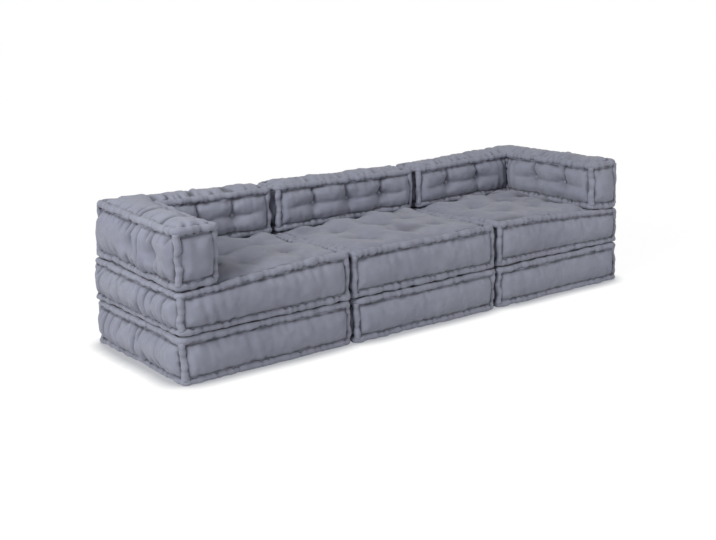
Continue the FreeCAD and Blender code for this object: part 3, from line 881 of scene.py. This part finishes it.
class Graph:
    """The shader nodes of a material or world, with short ways to add to them."""

    def __init__(self, owner):
        owner.use_nodes = True
        self.nodes, self.links = owner.node_tree.nodes, owner.node_tree.links

    def join(self, value, socket):
        """Puts a number, a colour or the output of another node into a socket."""
        if isinstance(value, (int, float)):
            socket.default_value = value
        elif isinstance(value, tuple):
            socket.default_value = (*value, 1)
        else:
            self.links.new(value, socket)

    def put(self, node, inputs):
        """Fills a node's inputs, given by name or number, and returns its outputs."""
        for name, value in inputs.items():
            self.join(value, node.inputs[name])
        return node.outputs

    def add(self, kind, inputs):
        return self.put(self.nodes.new(f"ShaderNode{kind}"), inputs)

    def math(self, operation, *values):
        node = self.nodes.new("ShaderNodeMath")
        node.operation = operation
        return self.put(node, dict(enumerate(values)))[0]

    def noise(self, position, scale, detail):
        return self.add("TexNoise", {"Scale": scale, "Detail": detail, "Vector": position})["Fac"]

    def ramp(self, factor, low, high, places):
        node = self.nodes.new("ShaderNodeValToRGB")
        for element, colour, place in zip(node.color_ramp.elements, (low, high), places):
            element.position = place
            element.color = (*colour, 1)
        return self.put(node, {0: factor})[0]

    def mix(self, kind, factor, first, second):
        node = self.nodes.new("ShaderNodeMix")
        node.data_type = "RGBA"
        node.blend_type = kind
        return self.put(node, {0: factor, 6: first, 7: second})[2]

    def attribute(self, name):
        node = self.nodes.new("ShaderNodeAttribute")
        node.attribute_name = name
        return node.outputs["Fac"]

    def seen_directly(self):
        """1 for rays from the camera, from a reflection or through glass, which see a white studio."""
        path = self.add("LightPath", {})
        seen = self.math("MAXIMUM", path["Is Camera Ray"], path["Is Glossy Ray"])
        return self.math("MAXIMUM", seen, path["Is Transmission Ray"])


def tinted(colour, share):
    """A colour made darker or lighter."""
    return tuple(min(1.0, part * share) for part in colour)


def weave_height(graph, position, normal, pitch):
    """A plain weave seen along each axis, blended by the way the surface faces."""
    place, facing = (graph.add("SeparateXYZ", {0: vector}) for vector in (position, normal))
    waves = []
    for axis in range(3):
        waves.append(graph.math("SINE", graph.math("MULTIPLY", place[axis], math.pi / pitch)))
    total = 0.0
    for axis in range(3):
        first, second = (number for number in range(3) if number != axis)
        cross = graph.math("MULTIPLY", waves[first], waves[second])
        term = graph.math("MULTIPLY", cross, graph.math("ABSOLUTE", facing[axis]))
        total = graph.math("ADD", total, term)
    return total


def fabric_material(name, colour, pitch, highlight_and_wear_tint=1.12, dark=0.2):
    """Woven cotton: a plain weave with slubs, a mottled dye, dark seams with painted shade, lighter wear
    with a painted highlight, and a soft sheen.
    """
    material = bpy.data.materials.new(name)
    graph = Graph(material)
    shader = graph.nodes["Principled BSDF"]
    graph.put(shader, {"Roughness": 0.92, "Specular IOR Level": 0.25})
    graph.put(shader, {"Sheen Weight": 0.22, "Sheen Roughness": 0.45})
    coordinates = graph.add("TexCoord", {})
    position = coordinates["Object"]
    weave = weave_height(graph, position, coordinates["Normal"], pitch)
    slubs = graph.noise(position, 420, 3)
    mottle = graph.noise(position, 26, 4)
    broad = graph.noise(position, 3.5, 2)
    dyed = graph.ramp(mottle, tinted(colour, 0.91), tinted(colour, 1.09), (0.25, 0.75))
    aged = graph.ramp(broad, (0.93, 0.93, 0.95), (1.05, 1.05, 1.03), (0.3, 0.7))
    cloth = graph.mix("MULTIPLY", 1.0, dyed, aged)
    threads = graph.math("MULTIPLY_ADD", weave, 0.5, 0.5)
    shade = graph.ramp(threads, (0.86, 0.86, 0.87), (1.1, 1.1, 1.1), (0.1, 0.9))
    woven = graph.mix("MULTIPLY", 0.8, cloth, shade)
    # The seam attribute darkens the seams and paints shade; the wear attribute lightens for wear and paints
    # a highlight.
    seamed_and_shaded = graph.mix("MIX", graph.attribute("seam"), woven, tinted(colour, dark))
    finished = graph.mix("MIX", graph.attribute("wear_and_highlight"), seamed_and_shaded, tinted(colour, highlight_and_wear_tint))
    relief = graph.math("ADD", weave, slubs)
    bump = graph.add("Bump", {"Strength": 0.5, "Distance": 0.6 * MM, "Height": relief})
    graph.put(shader, {"Base Color": finished, "Normal": bump[0]})
    return material


def make_materials():
    return {
        "cover": fabric_material("blue_grey_cotton", CLOTH, 1.6 * MM),
        # Rolled edges turn lighter than the panels: partly wear, partly a painted highlight.
        "roll": fabric_material("blue_grey_rolled_edge", CLOTH, 1.6 * MM, highlight_and_wear_tint=1.2),
        "thread": fabric_material("stitching_thread", tinted(CLOTH, 0.25), 0.6 * MM),
        "button": fabric_material("covered_button", tinted(CLOTH, 0.9), 1.2 * MM),
        "twine": fabric_material("tufting_twine", TWINE, 0.7 * MM),
        "tape": fabric_material("hook_and_loop_tape", TAPE, 1.1 * MM),
    }


def start_cushion(cushion):
    """The swollen grid of a cushion, ready for the simulation."""
    flat, faces = box_grid(cushion)
    place = Place(cushion, flat)
    points = flat + place.normal * swell(cushion, flat, place)[:, None]
    edge = place.edge < 0.01 * MM
    points[edge] = flat[edge]
    held = edge.copy()
    for axis, facing, across, along in around_tufts(cushion, flat, place):
        far = np.hypot(across, along)
        held |= facing & (far < HELD)
        for sign in (-1, 1):
            held[tuft_point(place, axis, sign, far)] = True
    thing = new_mesh(f"{cushion.name}_start", points, faces)
    add_cloth(thing, held, PRESSURE[cushion.layer])
    return thing, flat, faces, points


def simulate():
    """Steps the cloth of all the cushions together."""
    scene = bpy.context.scene
    scene.frame_start, scene.frame_end = 1, FRAMES
    for number in range(1, FRAMES + 1):
        scene.frame_set(number)


def foot_shade(cushion, flat, place):
    """Painted shade on a seat: in its dips and along the line where a back or an arm meets it."""
    gap = seat_cover(cushion, flat)
    result = np.maximum(0.38 * bell(gap, 11 * MM), 0.5 * foot_dips(cushion, flat) ** 2)
    return np.where(place.top & (gap > 0), result, 0)


def cover_shades(cushion, flat, place, folds):
    """How dark a cover is, from 0 to 1: a dark line at its seams, and painted shade at its tufts, creases,
    folds and, on a seat, in its dips and along the foot of the back and arm.
    """
    ragged = smooth(cushion.waves(53, 38 * MM)(flat), -0.45, 0.45)
    line = SEAM_LINE + 1.5 * MM * cushion.waves(59, 60 * MM)(flat)
    result = (0.66 + 0.34 * ragged) * bell(place.edge - line, (2.8 + 1.8 * ragged) * MM)
    # Painted shade in each tuft's dimple, wider round the tufts of a seat.
    for _, facing, across, along in around_tufts(cushion, flat, place):
        far = np.hypot(across, along)
        spot = 0.8 * spike(far, 14 * MM)
        if cushion.layer == "seat":
            spot = np.maximum(spot, 0.27 * bell(far, 44 * MM))
        result = np.where(facing, np.maximum(result, spot), result)
    # Painted shade in the hollows of the folds, stronger along the tops of the backs.
    fold_shade = 0.55
    if cushion.is_back:
        # Painted shade along the sharp creases of a back.
        sharp = np.clip(tuft_creases(cushion, flat, place) / (10 * MM), 0, 1) ** 1.6
        result = np.maximum(result, 0.95 * sharp)
        top_shade = 0.75 if cushion.module == "left" else 0.32
        fold_shade = np.where(place.top, top_shade, fold_shade)
    # Painted shade in a seat's dips and along the foot of the back and arm.
    if cushion.layer == "seat":
        result = np.maximum(result, foot_shade(cushion, flat, place))
    return np.maximum(result, fold_shade * smooth(-folds, 1.2 * MM, 8.5 * MM))


def finish_cushion(cushion, thing, flat, faces, start, materials):
    """The cushion's cover from its simulated grid: subdivided, gathered and settled."""
    points = evaluated_points(thing)
    moved = points - start
    far = np.maximum(np.linalg.norm(moved, axis=1), 1e-9)
    points = start + moved * np.minimum(1, REACH / far)[:, None]
    bpy.data.objects.remove(thing)
    points, normals, faces, flat = subdivide(points, faces, flat)
    place = Place(cushion, flat)
    folds = gathers(cushion, flat, place)
    points = points + normals * folds[:, None]
    keep_clear(cushion, place, points)
    points = settle(cushion, points)
    cover = new_mesh(f"{cushion.name}_tufted_cover", points, faces)
    # seam: a dark line along the seams, with painted shade in the tufts, creases, folds and a seat's foot.
    seam = cover_shades(cushion, flat, place, folds)
    # Lighter cloth: random patches of wear, and a painted highlight along the top of each back.
    wear_and_highlight = 0.25 * np.clip(cushion.waves(1, 300 * MM)(flat), 0, 1)
    if cushion.is_back:
        wear_and_highlight += np.where(place.top, 0.5, 0)
    add_shades(cover, seam, wear_and_highlight)
    cover.data.materials.append(materials["cover"])
    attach(cover, cushion.name)
    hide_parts(f"{cushion.name}_cover", f"{cushion.name}_filling")
    return points, flat, place


def make_buttons(cushion, points, flat, place):
    """The buttons of a cushion, one at each end of each tuft."""
    lift = 2 * MM
    buttons = Tube()
    for axis, _, across, along in around_tufts(cushion, flat, place):
        for sign in (-1, 1):
            normal = np.zeros(3)
            normal[axis] = sign
            nearest = tuft_point(place, axis, sign, np.hypot(across, along))
            make_button(buttons, points[nearest] + normal * lift, normal)
    return buttons


def dress_cushion(cushion, covered, materials):
    """Adds the rolled edges, the stitching and the buttons of a cushion."""
    rolls, thread = make_rolls(cushion)
    roll_points = settle(cushion, in_stack(cushion, rolls.all_points()))
    roll_points[:, 2] = np.maximum(roll_points[:, 2], 0)
    roll = new_mesh(f"{cushion.name}_rolled_edge", roll_points, rolls.faces)
    # The rolls: painted shade on their seam sides and at their stitches, and elsewhere lighter, partly wear
    # and partly a painted highlight.
    add_shades(roll, np.concatenate(rolls.shades), wear_and_highlight=0.3)
    thread_points = settle(cushion, in_stack(cushion, thread.all_points()))
    stitches = new_mesh(f"{cushion.name}_stitches", thread_points, thread.faces)
    buttons = make_buttons(cushion, *covered)
    button = new_mesh(f"{cushion.name}_tuft_buttons", buttons.all_points(), buttons.faces)
    for thing, material, slot in (
        (roll, "roll", "rolled_edge"),
        (stitches, "thread", "twine"),
        (button, "button", "button_fabric"),
    ):
        thing.data.materials.append(materials[material])
        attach(thing, cushion.name)
    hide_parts(f"{cushion.name}_edge_rolls")
    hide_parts(f"{cushion.name}_buttons")


def paint_nodes(materials):
    """Gives the pieces that stay from the CAD model their materials."""
    for name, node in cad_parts.items():
        for ending, material in (("tuft_twine", "twine"), ("tapes", "tape")):
            if name.endswith(ending):
                node.data.materials.clear()
                node.data.materials.append(materials[material])


def floor_material():
    """White with a shadow close to the sofa where it is seen; grey for the light it throws back."""
    own_light, shaded, white, bounce = 0.92, (0.42, 0.43, 0.46), (1, 1, 1), (0.68, 0.68, 0.68)
    material = bpy.data.materials.new("pale_floor")
    graph = Graph(material)
    seen = graph.seen_directly()
    tone = graph.mix("MIX", seen, bounce, white)
    lit = graph.put(graph.nodes["Principled BSDF"], {"Roughness": 0.9, "Base Color": tone})
    nearby = graph.add("AmbientOcclusion", {"Distance": 80 * MM})["AO"]
    colour = graph.ramp(nearby, shaded, white, (0.45, 0.92))
    glow = graph.add("Emission", {"Strength": 1.04, "Color": colour})
    share = graph.math("MULTIPLY", seen, own_light)
    blend = graph.add("MixShader", {0: share, 1: lit[0], 2: glow[0]})
    graph.put(graph.nodes["Material Output"], {"Surface": blend[0]})
    return material


def make_world():
    """A white studio where it is seen directly, and a weaker light from all round."""
    world = bpy.data.worlds.new("studio")
    bpy.context.scene.world = world
    graph = Graph(world)
    strength = graph.add("MapRange", {"Value": graph.seen_directly(), "To Min": 0.25, "To Max": 1.0})
    graph.put(graph.nodes["Background"], {"Color": (1, 1, 1), "Strength": strength[0]})


def add_light(name, kind, place, way, power, size):
    """A sun with an angle, or a square lamp with a width, that shines one way."""
    lamp = bpy.data.lights.new(name, kind)
    lamp.energy = power
    if kind == "SUN":
        lamp.angle = math.radians(size)
    else:
        lamp.size = size
    light = bpy.data.objects.new(name, lamp)
    bpy.context.scene.collection.objects.link(light)
    light.location = place
    light.rotation_euler = Vector(way).to_track_quat("-Z", "Y").to_euler()


def make_stage():
    """A white floor that keeps the contact shadow, and soft light from the left, the front and above."""
    bpy.context.scene.view_settings.view_transform = "Standard"
    size = 30
    corners = [(-size, -size, 0), (size, -size, 0), (size, size, 0), (-size, size, 0)]
    floor = new_mesh("floor", corners, [(0, 1, 2, 3)])
    floor.data.materials.append(floor_material())
    make_world()
    add_light("key", "SUN", (0, 0, 3), (0.85, 0.28, -0.4), 1.6, 18)
    add_light("fill", "SUN", (0, 0, 3), (-0.35, 0.9, -0.2), 0.62, 50)
    add_light("softbox", "AREA", (-2.1, -0.45, 2.05), (1.2, 0.45, -1.6), 23, 0.9)
    add_light("side", "AREA", (2.5, -2.8, 1.6), (-0.5, 0.8, -0.4), 17, 1.2)


def make_camera():
    """The photograph's viewpoint, found by fitting the cushions' corners."""
    azimuth, elevation, roll = math.radians(-35.74), math.radians(13.81), math.radians(-1.83)
    place = Vector((-2.737, -3.679, 1.294))
    focal_pixels, width_pixels = 1145, 716
    camera = bpy.data.cameras.new("camera")
    camera.sensor_width = 36
    camera.lens = focal_pixels / width_pixels * camera.sensor_width
    thing = bpy.data.objects.new("camera", camera)
    bpy.context.scene.collection.objects.link(thing)
    pose = Matrix.Translation(place)
    for turn, axis in ((azimuth, "Z"), (math.pi / 2 - elevation, "X"), (roll, "Z")):
        pose = pose @ Matrix.Rotation(turn, 4, axis)
    thing.matrix_world = pose
    bpy.context.scene.camera = thing


def main():
    materials = make_materials()
    cushions = []
    for module in MODULES:
        for layer in LAYERS:
            cushions.append(Cushion(module, layer, len(cushions) + 1))
    started = [start_cushion(cushion) for cushion in cushions]
    simulate()
    for cushion, parts in zip(cushions, started):
        covered = finish_cushion(cushion, *parts, materials)
        dress_cushion(cushion, covered, materials)
    paint_nodes(materials)
    make_stage()
    make_camera()


main()
